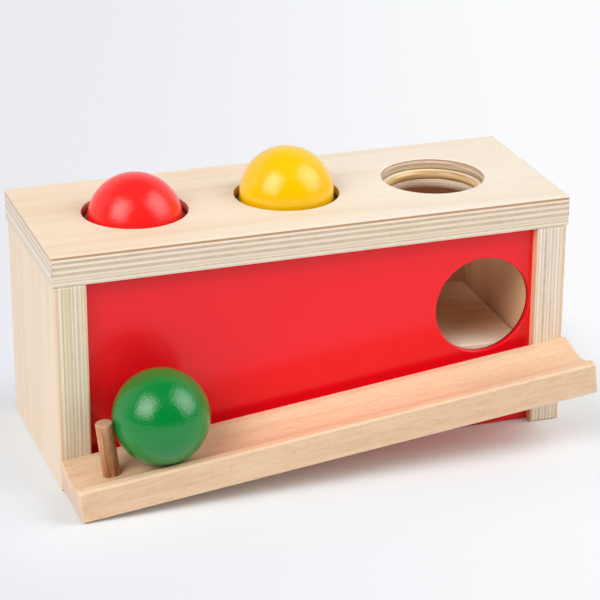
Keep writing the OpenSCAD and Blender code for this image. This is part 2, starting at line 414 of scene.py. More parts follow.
def veneer(tree, depth, middle, lines, shades, warm):
    """The colour of a board's two faces; warm gives where along X it turns warmer, and how far."""
    place = parts_of(tree, place_in(tree))
    streaky = ease(tree, lines["Streaks"], 0.42, 0.8)
    outside = tint(tree, streaky, shades["face"], shades["streak"])
    cloudy = sum_of(tree, "MULTIPLY", ease(tree, lines["Clouds"], 0.45, 0.75), 0.6)
    if warm:
        warm_from, warm_to, warm_share = warm
        warmer = ease(tree, place[0], warm_from, warm_to)
        cloudy = sum_of(tree, "MULTIPLY_ADD", warmer, warm_share, cloudy)
        outside = tint(tree, sum_of(tree, "MULTIPLY", streaky, warmer), outside, shades["inner_streak"])
    outside = tint(tree, cloudy, outside, shades["cloud"])
    inside = tint(tree, streaky, shades["inner_face"], shades["inner_streak"])
    indoors = ease(tree, place[1], front_face - 1 * MM, front_face)
    inside = tint(tree, indoors, shades["front_strip"], inside)
    return tint(tree, ease(tree, depth, middle, middle + 1), outside, inside)


print("the red panel's face is at", round(front_face / MM, 2), "mm")

# %% Cut edge
end_grey = (214, 200, 188)
first_ply_end = (1.7, 2.0)


def cut_edge(tree, depth, layers, lines, cross_lines, ends, shades, fade):
    """The colour of a cut edge: glue lines between pale and dark plies, which swap round the corner."""
    pale = tint(tree, layers["Tone"], *shades["pale_plies"])
    fibrous = sum_of(tree, "MULTIPLY", ease(tree, lines["Fibres"], 0.4, 0.75), 0.35)
    pale = tint(tree, fibrous, pale, shades["dark_plies"][0])
    dark = tint(tree, ease(tree, cross_lines["Streaks"], 0.3, 0.7), *shades["dark_plies"])
    dark = tint(tree, sum_of(tree, "MULTIPLY", layers["Shade"], fade), dark, pale)
    dark = tint(tree, ends, dark, shades["dark_plies"][1])
    swapped = sum_of(tree, "MULTIPLY_ADD", layers["Dark"], -2.0, 1.0)
    edge = tint(tree, sum_of(tree, "MULTIPLY_ADD", swapped, ends, layers["Dark"]), pale, dark)
    glue_share = sum_of(tree, "MULTIPLY", layers["Glue"], sum_of(tree, "MULTIPLY_ADD", ends, -0.25, 0.25))
    edge = tint(tree, glue_share, edge, shades["dark_plies"][1])
    in_first_ply = sum_of(tree, "SUBTRACT", 1.0, ease(tree, depth, *first_ply_end))
    edge = tint(tree, in_first_ply, edge, shades["first_ply"])
    not_bored = sum_of(tree, "MULTIPLY_ADD", mark_of(tree, "bored"), -0.5, 0.5)
    return tint(tree, sum_of(tree, "MULTIPLY", ends, not_bored), edge, end_grey)


print("first ply ends", first_ply_end[1], "mm below the face")

# %% Plywood
veneer_end = (0.7, 0.9)
back_veneer = (0.3, 0.12)
grain_depth = 0.04 * MM
wood_gloss = 0.35


def wood_surface(tree, shader, colour, roughness, height):
    """Gives a wood's colour, roughness and fine relief to its shader."""
    relief = bump(tree, height, grain_depth, 0.5)
    connect(tree, shader, Base_Color=colour, Roughness=roughness, Normal=relief)
    shader.inputs["Specular IOR Level"].default_value = wood_gloss


def plywood(name, stack, turns, layering, shades, fade, warm=None, bunch=0.0):
    """Plywood on face and edge; stack gives which way its plies lie, from where and how thick."""
    finish, tree, shader = new_finish(name)
    thickness = stack[2] / MM
    depth = depth_in_board(tree, stack)
    to_back = sum_of(tree, "SUBTRACT", thickness, depth)
    bunched = sum_of(tree, "MULTIPLY_ADD", sum_of(tree, "MULTIPLY", depth, to_back), bunch, depth)
    layers = use_group(tree, plies, {"Vector": place_in(tree), "Depth": bunched, **layering})
    grain_turn, cross_turn = turns
    lines = use_group(tree, grain, {"Vector": place_in(tree, grain_turn)})
    cross_lines = use_group(
        tree, grain,
        {"Vector": place_in(tree, cross_turn), "Streaks per metre": 260.0, "Streak stretch": 0.1},
    )
    ends = ends_of(tree, grain_turn)
    on_top = sum_of(tree, "SUBTRACT", 1.0, ease(tree, depth, *veneer_end))
    on_back = ease(tree, depth, *[thickness - above for above in back_veneer])
    face_colour = veneer(tree, depth, thickness / 2, lines, shades, warm)
    edge_colour = cut_edge(tree, depth, layers, lines, cross_lines, ends, shades, fade)
    colour = tint(tree, sum_of(tree, "MAXIMUM", on_top, on_back), edge_colour, face_colour)
    # Eased faces go paler: wear on outer edges, painted highlight on hole rims, painted light on hole
    # walls.
    colour = paler_for_wear_and_highlight(tree, colour, shades["wear_and_highlight"], 0.7)
    height = sum_of(tree, "MULTIPLY_ADD", layers["Dark"], -0.5, lines["Fibres"])
    roughness = sum_of(tree, "MULTIPLY_ADD", lines["Fibres"], 0.16, 0.46)
    wood_surface(tree, shader, colour, roughness, height)
    return finish


print("plywood recipe ready")

# %% Lid plywood
quarter = math.pi / 2
along_x = (0, 0, 0)
along_y = (0, 0, -quarter)
along_z = (0, quarter, 0)
lid_shades = {
    "face": (243, 229, 210), "streak": (236, 216, 191), "cloud": (238, 210, 177),
    "inner_face": (240, 222, 198), "inner_streak": (226, 196, 160), "front_strip": (243, 229, 210),
    "first_ply": (200, 152, 114), "wear_and_highlight": (255, 246, 232),
    "pale_plies": [(252, 241, 222), (247, 234, 212)], "dark_plies": [(224, 194, 164), (210, 178, 152)],
}
lower_shades = {
    **lid_shades,
    "inner_face": (220, 184, 146), "inner_streak": (206, 166, 128),
    "first_ply": (236, 214, 186), "wear_and_highlight": (248, 238, 218),
    "dark_plies": [(230, 212, 186), (216, 192, 164)],
}
top_low, top_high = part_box("top_board")
clamp_low, clamp_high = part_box("ring_clamp_board")
lid_ply = plywood(
    "lid_plywood_finish", ((0, 0, -1), -top_high.z, top_high.z - top_low.z), (along_x, along_y),
    {"Pair": 2.67, "First dark": 1.35, "Dark share": 0.46, "Softness": 0.07}, lid_shades, fade=0.25,
    warm=(60 * MM, -120 * MM, 0.6), bunch=0.023,
)
lower_ply = plywood(
    "clamp_plywood_finish", ((0, 0, -1), -clamp_high.z, clamp_high.z - clamp_low.z), (along_x, along_y),
    {"Pair": 1.7, "First dark": 0.9, "Dark share": 0.4}, lower_shades, fade=0.5,
)
print("lid plywood", round((top_high.z - clamp_low.z) / MM, 1), "mm in two boards")

# %% Side plywood
left_low, left_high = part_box("left_side_panel")
right_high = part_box("right_side_panel")[1]
side_thickness = left_high.x - left_low.x
side_shades = {
    "face": (239, 216, 192), "streak": (229, 203, 174), "cloud": (236, 206, 178),
    "inner_face": (250, 206, 164), "inner_streak": (230, 174, 130), "front_strip": (240, 190, 148),
    "first_ply": (240, 204, 166), "wear_and_highlight": (250, 236, 214),
}
left_plies = {
    "pale_plies": [(249, 238, 217), (239, 220, 186)], "dark_plies": [(216, 195, 166), (198, 174, 146)],
}
right_plies = {
    "pale_plies": [(253, 244, 229), (245, 228, 206)], "dark_plies": [(226, 203, 181), (206, 178, 156)],
}
side_layers = {
    "Pair": 1.8, "First dark": 1.6, "Dark share": 0.36,
    "Waviness": 0.5, "Unevenness": 1.8, "Softness": 0.12,
}
nodes["left_side_panel"].material_slots[0].material = plywood(
    "left_side_finish", ((1, 0, 0), left_low.x, side_thickness), (along_z, along_y),
    side_layers, {**side_shades, **left_plies}, fade=0.6,
)
nodes["right_side_panel"].material_slots[0].material = plywood(
    "right_side_finish", ((-1, 0, 0), -right_high.x, side_thickness), (along_z, along_y),
    {**side_layers, "Seed": 7.0}, {**side_shades, **right_plies}, fade=0.5,
)
print("side panels", round(side_thickness / MM, 1), "mm thick")

# %% [markdown]
# ## Beech
# The track looks like steamed beech: pink-tan, with short dark flecks along the grain. The rails and the
# dowels inside are taken to be the same wood. The flecks are cells of a Voronoi pattern, stretched into
# dashes, of which only some are kept. The end grain is duller, so the shader asks for it too.

# %% Fleck group
flecks, given, made = new_group(
    "flecks",
    {"Vector": (0.0, 0.0, 0.0), "Rows per metre": 1500.0, "Dash stretch": 0.2, "Kept": 0.4},
    ["Fleck"],
)
dash_way = drawn_out(flecks, given["Vector"], given["Dash stretch"])
cells = add(flecks, "ShaderNodeTexVoronoi", {"Vector": dash_way, "Scale": given["Rows per metre"]}).outputs
dash = sum_of(flecks, "SUBTRACT", 1.0, ease(flecks, cells["Distance"], 0.12, 0.36))
cell_lot = add(flecks, "ShaderNodeSeparateColor", {0: cells["Color"]}).outputs[0]
is_kept = sum_of(flecks, "LESS_THAN", cell_lot, given["Kept"])
put_out(flecks, made, Fleck=sum_of(flecks, "MULTIPLY", dash, is_kept))


# %% Solid wood
def solid_wood(name, turn, pale, dark, fleck, end, wear_and_highlight, kept, rough, rows=170.0):
    """Solid timber with its grain along X after the turn, flecks in its sides and duller ends."""
    finish, tree, shader = new_finish(name)
    own = place_in(tree, turn)
    lines = use_group(
        tree, grain,
        {"Vector": own, "Streaks per metre": rows, "Streak stretch": 0.06, "Fibres per metre": 1100.0,
         "Fibre stretch": 0.11},
    )
    dashes = use_group(tree, flecks, {"Vector": own, "Kept": kept})["Fleck"]
    colour = tint(tree, ease(tree, lines["Streaks"], 0.3, 0.72), pale, dark)
    cloudy = sum_of(tree, "MULTIPLY", ease(tree, lines["Clouds"], 0.4, 0.7), 0.35)
    colour = tint(tree, cloudy, colour, dark)
    fibrous = sum_of(tree, "MULTIPLY", ease(tree, lines["Fibres"], 0.42, 0.74), 0.34)
    colour = tint(tree, fibrous, colour, fleck)
    colour = tint(tree, sum_of(tree, "MULTIPLY", dashes, 0.36), colour, fleck)
    colour = paler_for_wear_and_highlight(tree, colour, wear_and_highlight, 0.35)
    end_fibres = sum_of(tree, "MULTIPLY", ease(tree, lines["Fibres"], 0.35, 0.7), 0.3)
    colour = tint(tree, ends_of(tree, turn), colour, tint(tree, end_fibres, end, fleck))
    height = sum_of(tree, "MULTIPLY_ADD", dashes, -0.6, lines["Fibres"])
    roughness = sum_of(tree, "MULTIPLY_ADD", lines["Fibres"], 0.14, rough)
    wood_surface(tree, shader, colour, roughness, height)
    return finish


print("solid wood recipe ready")

# %% Beech
roll = next(joint for joint in frame["joints"] if joint["name"] == "green_ball_roll")
track_slope = math.atan2(roll["axis"][2], roll["axis"][0])
track_beech = solid_wood(
    "track_beech", (0, track_slope, 0), pale=(242, 209, 174), dark=(234, 194, 156), fleck=(206, 152, 114),
    end=(228, 200, 180), wear_and_highlight=(250, 224, 194), kept=0.45, rough=0.42,
)
for rail in ("floor_rail_front", "floor_rail_back"):
    nodes[rail].material_slots[0].material = track_beech
dowel_beech = solid_wood(
    "dowel_beech", along_z, pale=(243, 208, 172), dark=(232, 190, 152), fleck=(196, 143, 106),
    end=(224, 192, 172), wear_and_highlight=(250, 222, 190), kept=0.4, rough=0.5,
)
for dowel in ("lid_dowels_left", "lid_dowels_right", "track_dowel_left", "track_dowel_right"):
    nodes[dowel].material_slots[0].material = dowel_beech
print("track slope", round(math.degrees(track_slope), 2), "degrees")

# %% [markdown]
# ## Red satin paint
# The front panel looks sprayed. Sprayed paint is never quite flat: it dries with a fine ripple, and a
# trace of the veneer's grain comes through. Both are bump of a few hundredths of a millimetre, which
# softens the reflections.

# %% Red paint
ripples_per_metre = 900.0
mottles_per_metre = 24.0
ripple_depth = 0.03 * MM


def satin_paint(name, colour, deeper):
    """Sprayed satin paint over veneer, which goes over to a deeper colour in soft spots."""
    finish, tree, shader = new_finish(name)
    own = place_in(tree)
    ripple = noise(tree, own, ripples_per_metre, 2.0)
    mottle = noise(tree, own, mottles_per_metre, 3.0)
    under = use_group(tree, grain, {"Vector": own, "Streaks per metre": 320.0})
    spots = sum_of(tree, "MULTIPLY", ease(tree, mottle, 0.35, 0.7), 0.22)
    height = sum_of(tree, "MULTIPLY_ADD", under["Streaks"], 0.6, ripple)
    connect(
        tree, shader, Base_Color=tint(tree, spots, colour, deeper),
        Roughness=sum_of(tree, "MULTIPLY_ADD", mottle, 0.12, 0.16),
        Normal=bump(tree, height, ripple_depth, 0.6),
    )
    shader.inputs["IOR"].default_value = 1.45
    return finish


red_paint = satin_paint("red_satin_paint", (252, 14, 30), (246, 10, 28))
# A dark red for painted shade: the shade line at the back of the exit hole's wall.
shade_line_paint = satin_paint("red_shade_line_paint", (110, 10, 20), (96, 8, 16))
print("painted finish ready")

# %% [markdown]
# ## Bare inside
# The floor inside and the inner face of the back panel are taken to be bare veneer. Nothing lights the
# inside but what comes through the holes, so its brown look comes from light bouncing between the walls,
# not from a dark colour. Near the exit the floor is paler in the picture, where light comes in through the
# hole, so a paler colour is mixed in there as a painted pool of light. Why isn't known, so a paler colour
# is simply mixed in.

# %% Bare veneer
bare_ply = solid_wood(
    "bare_panel_wood", along_x, pale=(238, 190, 148), dark=(220, 168, 126), fleck=(198, 146, 106),
    end=(230, 190, 152), wear_and_highlight=(250, 230, 202), kept=0.1, rough=0.55,
)
floor_veneer = solid_wood(
    "inner_floor_veneer", along_x, pale=(248, 218, 184), dark=(234, 194, 154), fleck=(222, 178, 138),
    end=(250, 232, 208), wear_and_highlight=(250, 230, 202), kept=0.15, rough=0.5, rows=260.0,
)
# Painted light: the floor is paler near the exit, where light comes in through the hole.
painted_light_from = front_face + 26 * MM
painted_light_full = front_face + 5 * MM
tree = floor_veneer.node_tree
shader = tree.nodes["Principled BSDF"]
floor_colour = shader.inputs["Base Color"].links[0].from_socket
from_front = parts_of(tree, place_in(tree))[1]
painted_light_share = sum_of(tree, "MULTIPLY", ease(tree, from_front, painted_light_from, painted_light_full), 0.75)
connect(tree, shader, Base_Color=tint(tree, painted_light_share, floor_colour, (255, 242, 220)))
print("the floor is paler up to", round((painted_light_from - front_face) / MM, 1), "mm behind the panel's face")

# %% [markdown]
# ## Gloss lacquer on the balls
# The balls look turned from wood and dipped in coloured lacquer. The colour hides the wood but not its
# grain, which breaks the edges of every reflection. Bump of a tenth or two of a millimetre does that.


# %% Ball lacquer
pores_per_metre = 1200.0


def ball_lacquer(name, node, colour, thin, turn, rough, ior, pore_depth):
    """Dipped lacquer on a turned ball, with the grain of the wood showing in its gloss."""
    finish, tree, shader = new_finish(name)
    low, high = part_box(node)
    from_centre = vector_sum(tree, "SUBTRACT", place_in(tree), (low + high) / 2)
    own = turned(tree, from_centre, turn)
    lines = use_group(
        tree, grain,
        {"Vector": own, "Streaks per metre": 300.0, "Streak stretch": 0.25, "Fibres per metre": 900.0},
    )
    pores = noise(tree, own, pores_per_metre, 2.0)
    thinner = sum_of(tree, "MULTIPLY", ease(tree, lines["Streaks"], 0.45, 0.75), 0.3)
    height = sum_of(tree, "MULTIPLY_ADD", lines["Fibres"], 0.5, pores)
    connect(
        tree, shader, Base_Color=tint(tree, thinner, colour, thin),
        Roughness=sum_of(tree, "MULTIPLY_ADD", pores, 0.06, rough),
        Normal=bump(tree, height, pore_depth, 0.7),
    )
    shader.inputs["IOR"].default_value = ior
    nodes[node].material_slots[0].material = finish
    print(name, "on a ball of", round((high.z - low.z) / MM, 1), "mm")


ball_lacquer(
    "red_ball_lacquer", "red_ball", (252, 36, 34), (253, 48, 42), turn=(0.3, 0.5, 0.2),
    rough=0.12, ior=1.47, pore_depth=0.16 * MM,
)
ball_lacquer(
    "yellow_ball_lacquer", "yellow_ball", (254, 200, 0), (254, 206, 4), turn=(0.9, 0.2, 1.1),
    rough=0.05, ior=1.5, pore_depth=0.15 * MM,
)
ball_lacquer(
    "green_ball_lacquer", "green_ball", (0, 131, 52), (0, 138, 60), turn=(0.5, 1.0, 0.4),
    rough=0.0, ior=1.54, pore_depth=0.2 * MM,
)

# %% [markdown]
# ## Peg wood
# The peg looks like a darker, oiled dowel. It shares the timber recipe with other shades, with narrower
# streaks and with its grain upright on the sloping track.

# %% Peg wood
peg_finish = solid_wood(
    "peg_oiled_wood", (0, quarter + track_slope, 0), pale=(236, 178, 130), dark=(144, 86, 52),
    fleck=(98, 56, 34), end=(208, 166, 136), wear_and_highlight=(232, 192, 156), kept=0.6, rough=0.45, rows=420.0,
)
print("peg finish ready")

# %% [markdown]
# ## Elastic
# The rings look like clear amber elastic cord: light goes into it and comes out again nearby, which is
# what Subsurface is for. Noise that is squeezed upright and drawn out sideways gives the lines along the
# cord. To match the picture, the ring in the open hole has a painted highlight, a pale line along its top,
# and the two rings under the balls are painted darker, as painted shade. The three share one material,
# which tells the open ring by its place.

# %% Elastic
elastic, tree, shader = new_finish("amber_elastic_finish")
own = place_in(tree)
drawn_flat = (0.25, 0.25, 5.0)
lines_per_metre = 160.0
flow = noise(tree, vector_sum(tree, "MULTIPLY", own, drawn_flat), lines_per_metre, 3.0)
amber = tint(tree, ease(tree, flow, 0.3, 0.7), (232, 200, 150), (192, 148, 94))
cord_low, cord_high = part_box("grip_ring_right")
cord_rise = cord_high.z - cord_low.z
cord_place = parts_of(tree, own)
is_open = ease(tree, cord_place[0], cord_low.x - 2 * MM, cord_low.x - 1 * MM)
highlight_from = cord_high.z - 0.12 * cord_rise
highlight_full = cord_high.z - 0.03 * cord_rise
painted_highlight_line = sum_of(tree, "MULTIPLY", ease(tree, cord_place[2], highlight_from, highlight_full), is_open)
# Painted shade: the two rings under the balls take a darker amber.
amber = tint(tree, is_open, (170, 130, 86), amber)
# Painted highlight: a pale line along the top of the open ring.
amber = tint(tree, painted_highlight_line, amber, (250, 232, 194))
connect(tree, shader, Base_Color=amber, Roughness=sum_of(tree, "MULTIPLY_ADD", flow, 0.1, 0.1))
shader.inputs["Subsurface Weight"].default_value = 0.4
shader.inputs["Subsurface Radius"].default_value = (1.0, 0.6, 0.3)
shader.inputs["Subsurface Scale"].default_value = 3 * MM
print("elastic cord", round(cord_rise / MM, 1), "mm high")

# %% [markdown]
# ## Handing a mesh over
# A modelled piece stands for one CAD node: it takes the node's place and rides on the same body, and the
# node is hidden. Flat faces stay flat-shaded and everything curved is smooth, so wide faces keep an even
# shade right up to their rounded edges. All the new pieces belong to the box; the balls keep their CAD
# meshes.

# %% Handing a mesh over
weld = 0.002 * MM


def hand_over(bm, name, node, finishes):
    """Makes a finished bmesh into a piece of the box that stands for one CAD node."""
    bmesh.ops.remove_doubles(bm, verts=bm.verts, dist=weld)
    bmesh.ops.recalc_face_normals(bm, faces=bm.faces)
    mesh = bpy.data.meshes.new(name)
    bm.to_mesh(mesh)
    bm.free()
    for finish in finishes:
        mesh.materials.append(finish)
    piece = bpy.data.objects.new(name, mesh)
    scene.collection.objects.link(piece)
    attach(piece, "box")
    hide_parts(node)
    print(name, "has", len(mesh.polygons), "faces and stands for", node)
    return piece


def is_board_flat(face):
    """True for faces that look straight along one of the axes."""
    return max(abs(part) for part in face.normal) > 0.9999


def shade(bm, is_flat=is_board_flat):
    """Turns all faces outwards, and shades every face smooth but the flat ones."""
    bmesh.ops.recalc_face_normals(bm, faces=bm.faces)
    for face in bm.faces:
        face.smooth = not is_flat(face)


print("points nearer than", round(weld / MM, 4), "mm are welded")


# %% Rounding and measuring
def round_over(bm, edges, radius, steps, mark=1.0):
    """Rounds edges as sandpaper does, and marks the new faces eased: paler for wear and painted highlight.
    """
    eased = bm.faces.layers.float.get("eased") or bm.faces.layers.float.new("eased")
    rounded = bmesh.ops.bevel(
        bm, geom=edges, offset=radius, offset_type="OFFSET", segments=steps, profile=0.5, affect="EDGES",
        material=-1,
    )["faces"]
    for face in rounded:
        face[eased] = mark


def nearest(node, centre, axis):
    """Distance from an axis through centre to the node's nearest corner: the radius of a hole round it."""
    corners = [vert.co - centre for vert in nodes[node].data.vertices]
    return min((corner - corner.dot(axis) * axis).length for corner in corners)


print("piece helpers ready")

# %% [markdown]
# ## Drilling a board
# A hole could be cut with a Boolean, which leaves slivers round the rim. Here the hole's wall is turned
# instead: a few points are spun round the axis, and the flat face between the turned rims and the board's
# edge is filled last. Every rim is then a clean ring of quads that can be rounded over.


# %% Blocks and turned walls
def block(low, high):
    """A plain block between two corners, as a new bmesh."""
    bm = bmesh.new()
    middle = Matrix.LocRotScale((low + high) / 2, None, high - low)
    bmesh.ops.create_cube(bm, size=1.0, matrix=middle)
    return bm


def spin_round(bm, geom, centre, axis, steps, angle=2 * math.pi):
    """Carries points or lines round an axis; a full turn is closed by merging its two ends."""
    return bmesh.ops.spin(
        bm, geom=geom, cent=centre, axis=axis, dvec=(0, 0, 0), angle=angle, steps=steps,
        use_merge=angle == 2 * math.pi, use_normal_flip=False, use_duplicate=False,
    )


def turn_outline(bm, centre, axis, outline, steps):
    """Turns a wall from (radius, height along the axis) points."""
    out = axis.orthogonal().normalized()
    points = [bm.verts.new(centre + out * radius + axis * height) for radius, height in outline]
    lines = [bm.edges.new(pair) for pair in zip(points, points[1:])]
    spin_round(bm, points + lines, centre, axis, steps)


print("turning helpers ready")

# %% Opening and closing flat faces
same_place = 0.01 * MM


def open_flats(bm, axis):
    """Takes away the two widest faces across an axis, and leaves their edges."""
    across = [face for face in bm.faces if abs(face.normal.dot(axis)) > 0.999]
    across.sort(key=lambda face: face.calc_area())
    bmesh.ops.delete(bm, geom=across[-2:], context="FACES_ONLY")


def close_flat(bm, axis, level):
    """Fills the flat face at one level between the board's edge and its holes."""
    rims = [
        edge for edge in bm.edges
        if edge.is_boundary and all(abs(vert.co.dot(axis) - level) < same_place for vert in edge.verts)
    ]
    bmesh.ops.triangle_fill(bm, use_beauty=True, use_dissolve=False, edges=rims, normal=axis)


def ring_of_edges(bm, centre, axis, radius, height):
    """The edges that run round an axis at one radius and height."""
    def on_ring(vert):
        arm = vert.co - centre
        rise = arm.dot(axis)
        return abs(rise - height) < same_place and abs((arm - rise * axis).length - radius) < same_place
    return [edge for edge in bm.edges if on_ring(edge.verts[0]) and on_ring(edge.verts[1])]


print("drilling helpers ready")

# %% [markdown]
# ## The lid
# The lid is two boards glued face to face. The upper one has a seat cut round each hole from below, and
# the lower one traps the rings in those seats. Only outer edges are sanded round, so the glued faces stay
# sharp. The picture shows a narrow pale ring round each hole, so that ring is marked as eased too. The
# rounded rim of each hole is marked in full, for a painted highlight, and the walls of the holes are marked
# as bored and a little as eased, for painted light. The hole places come from the rings, and the dowel
# holes from the dowels.

# %% Lid measures
up = Vector((0, 0, 1))
rings = ("grip_ring_left", "grip_ring_middle", "grip_ring_right")
ring_boxes = [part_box(ring) for ring in rings]
hole_centres = [Vector((*((low + high) / 2).xy, 0)) for low, high in ring_boxes]
hole_radius = nearest("ring_clamp_board", hole_centres[1], up)
glue_gap = 0.1 * MM
ring_low, ring_high = ring_boxes[1]
seat_radius = (ring_high.x - ring_low.x) / 2 + glue_gap
dowel_radius = 4 * MM + glue_gap
tip_room = 1 * MM
dowel_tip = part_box("lid_dowels_left")[1].z + tip_room
dowel_centres = []
for pair in ("lid_dowels_left", "lid_dowels_right"):
    low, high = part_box(pair)
    radius = (high.x - low.x) / 2
    dowel_centres += [Vector(((low.x + high.x) / 2, y, 0)) for y in (low.y + radius, high.y - radius)]
print("holes", round(2 * hole_radius / MM, 2), "mm, ring seats", round(2 * seat_radius / MM, 2), "mm")

# %% Lid boards
hole_steps = 112
dowel_steps = 40
edge_mark = 0.2


def lid_board(low, high, outer_level, radius, wall, dowel_wall):
    """One lid board: its outer edges and corners rounded, its ball holes and dowel holes turned."""
    bm = block(low, high)
    outer = [
        edge for edge in bm.edges
        if abs((edge.verts[0].co - edge.verts[1].co).normalized().z) > 0.9
        or all(abs(vert.co.z - outer_level) < same_place for vert in edge.verts)
    ]
    round_over(bm, outer, radius, 5, edge_mark)
    open_flats(bm, up)
    for centre in hole_centres:
        turn_outline(bm, centre, up, wall, hole_steps)
    for centre in dowel_centres:
        turn_outline(bm, centre, up, dowel_wall, dowel_steps)
    for level in (high.z, low.z):
        close_flat(bm, up, level)
    return bm


print("lid boards have", len(hole_centres), "ball holes and", len(dowel_centres), "dowel holes")

# %% Upper board
edge_round = 0.8 * MM
rim_round = 0.5 * MM
pale_ring_width = 1.8 * MM
flat_border = 2.0 * MM
ring_mark = 0.9
wall_light_mark = 0.1
upper_wall = [
    (hole_radius + flat_border, top_high.z), (hole_radius + pale_ring_width, top_high.z),
    (hole_radius, top_high.z), (hole_radius, ring_high.z), (seat_radius, ring_high.z),
    (seat_radius, top_low.z), (seat_radius + flat_border, top_low.z),
]
blind_wall = [
    (dowel_radius + flat_border, top_low.z), (dowel_radius, top_low.z),
    (dowel_radius, dowel_tip), (0, dowel_tip),
]
bm = lid_board(top_low, top_high, top_high.z, edge_round, upper_wall, blind_wall)
# Painted highlight: the rounded rims are marked in full, so the finish paints them paler.
for centre in hole_centres:
    round_over(bm, ring_of_edges(bm, centre, up, hole_radius, top_high.z), rim_round, 4)
eased = bm.faces.layers.float["eased"]
bored = bm.faces.layers.float.new("bored")
for face in bm.faces:
    middle = face.calc_center_median()
    reach = min((middle - centre).xy.length for centre in hole_centres)
    if face.normal.z > 0.999 and reach < hole_radius + pale_ring_width:
        face[eased] = ring_mark
    elif face.normal.z > -0.5 and reach < hole_radius + rim_round:
        face[bored] = 1.0
        # Painted light: the hole walls are painted a little paler.
        face[eased] = wall_light_mark
shade(bm)
hand_over(bm, "lid_upper_board", "top_board", [lid_ply])


# %% Lower board
def through_wall(radius):
    """The wall of a hole that goes right through the lower board."""
    return [
        (radius + flat_border, clamp_high.z), (radius, clamp_high.z), (radius, clamp_low.z),
        (radius + flat_border, clamp_low.z),
    ]


lower_round = 0.6 * edge_round
bm = lid_board(
    clamp_low, clamp_high, clamp_low.z, lower_round, through_wall(hole_radius), through_wall(dowel_radius)
)
shade(bm)
hand_over(bm, "lid_lower_board", "ring_clamp_board", [lower_ply])

# %% [markdown]
# ## The elastic rings
# Each ring is round in section and closed. A circle spun once round the hole's axis makes it in one step.
# Under the ball that is pushed in, the ring is squeezed narrower, so its circle is scaled before it is
# spun. Clear elastic passes most of the light on to the wood below, so the ring in the open hole throws no
# shadow.

# %% Elastic rings
section_steps = 32
ring_steps = 128
for ring, (low, high), side in zip(rings, ring_boxes, ("left", "middle", "right")):
    centre = (low + high) / 2
    outer = (high.x - low.x) / 2
    inner = nearest(ring, centre, up)
    section_place = centre + Vector(((outer + inner) / 2, 0, 0))
    bm = bmesh.new()
    section = bmesh.ops.create_circle(
        bm, cap_ends=False, segments=section_steps, radius=0.5,
        matrix=Matrix.LocRotScale(section_place, Matrix.Rotation(quarter, 3, "X"), None),
    )["verts"]
    section_size = (outer - inner, 1.0, high.z - low.z)
    bmesh.ops.scale(bm, vec=section_size, space=Matrix.Translation(-section_place), verts=section)
    spin_round(bm, bm.verts[:] + bm.edges[:], centre, up, ring_steps)
    shade(bm, lambda face: False)
    clear_ring = hand_over(bm, "elastic_ring_" + side, ring, [elastic])
    clear_ring.visible_shadow = side != "right"

# %% [markdown]
# ## The red front panel
# A thin panel stands in grooves in the sides. It is taken to be sprayed after its exit hole is cut, so the
# wall of the hole is red too. Both its rims are rounded over, and the front one catches the light. The
# picture has a dark line at the back of the wall, which may be thin paint or shade. The last of the wall
# is painted a dark red as painted shade, for the dark shade line at the back of the hole's wall.

# %% Exit hole measures
panel_low, panel_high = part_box("front_panel")
opening = next(o for o in frame["record"]["physics"]["openings"] if o["name"] == "exit_hole")
opening_low, opening_high = (Vector(corner) for corner in opening["box_m"])
opening_middle = (opening_low + opening_high) / 2
exit_centre = Vector((opening_middle.x, 0, opening_middle.z))
forward = Vector((0, -1, 0))
exit_radius = nearest("front_panel", exit_centre, forward)
print("exit hole", round(2 * exit_radius / MM, 2), "mm")

# %% Red front panel
sheet_round = 0.4 * MM
exit_round = 0.5 * MM
exit_steps = 128
shade_line_width = 1.5 * MM
shade_line_from = panel_high.y - shade_line_width
bm = block(panel_low, panel_high)
round_over(bm, bm.edges[:], sheet_round, 3)
open_flats(bm, forward)
exit_wall = [
    (exit_radius + flat_border, -panel_low.y), (exit_radius, -panel_low.y), (exit_radius, -shade_line_from),
    (exit_radius, -panel_high.y), (exit_radius + flat_border, -panel_high.y),
]
turn_outline(bm, exit_centre, forward, exit_wall, exit_steps)
close_flat(bm, forward, -panel_low.y)
close_flat(bm, forward, -panel_high.y)
for level in (-panel_low.y, -panel_high.y):
    round_over(bm, ring_of_edges(bm, exit_centre, forward, exit_radius, level), exit_round, 4)
# Painted shade: the back strip of the hole's wall takes the dark red.
for face in bm.faces:
    middle = face.calc_center_median()
    reach = Vector((middle.x - exit_centre.x, middle.z - exit_centre.z)).length
    if reach < exit_radius + exit_round and middle.y > shade_line_from:
        face.material_index = 1
shade(bm)
hand_over(bm, "red_front_panel", "front_panel", [red_paint, shade_line_paint])

# %% [markdown]
# ## The back panel
# The back panel is taken to be a plain sheet in the same grooves, red outside and bare inside. It is
# modelled as the front one is, only without a hole, so that both get the same soft edges.

# %% Back panel
back_low, back_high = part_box("back_panel")
bm = block(back_low, back_high)
round_over(bm, bm.edges[:], sheet_round, 3)
shade(bm)
for face in bm.faces:
    face.material_index = 1 if face.normal.y < -0.9 else 0
hand_over(bm, "red_back_panel", "back_panel", [red_paint, bare_ply])

# %% [markdown]
# ## The inner floor
# The floor is one tilted board, so its eight corners are all that is needed. They are taken over from the
# CAD node, and its triangles are joined into flat faces again. At the exit end the board stops a little
# before the solid does, and its edges are eased, which gives the dark seam that the picture shows beside
# the wall.

